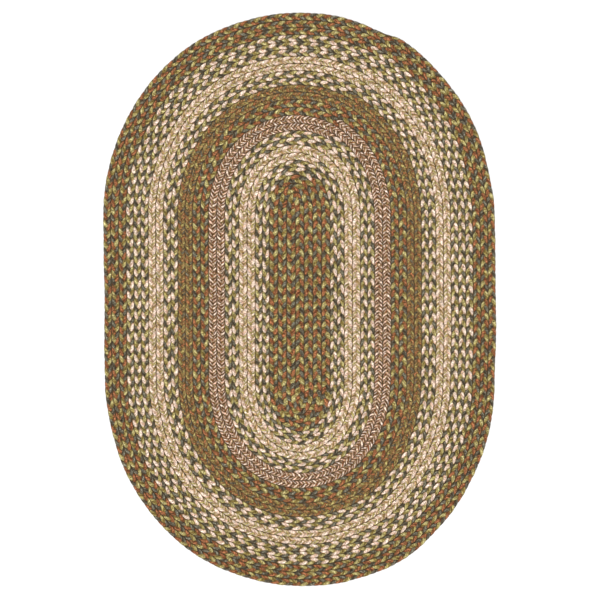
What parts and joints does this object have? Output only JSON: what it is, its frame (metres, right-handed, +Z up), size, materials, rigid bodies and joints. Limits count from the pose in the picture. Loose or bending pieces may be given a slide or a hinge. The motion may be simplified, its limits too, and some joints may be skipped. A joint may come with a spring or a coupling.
{
  "type": "braided rug",
  "caption": "Flat oval floor rug: one thick three-strand braid coiled from a straight middle and laced edge to edge, in bands of olive, slate, rust and cream.",
  "frame": {"origin": "centre of the rug's footprint, on its underside, where it lies on the floor", "axes": "+Z up through the rug, Y along its length with the braid's tucked end towards +Y and +X, X across"},
  "size_m": [1.242, 1.8134, 0.011],
  "materials": {
    "braid": "matt braided yarn, strands of olive, slate grey, rust and cream, fuzzy"
  },
  "bodies": {
    "root": {"coiled_braid": "braid"}
  },
  "joints": []
}
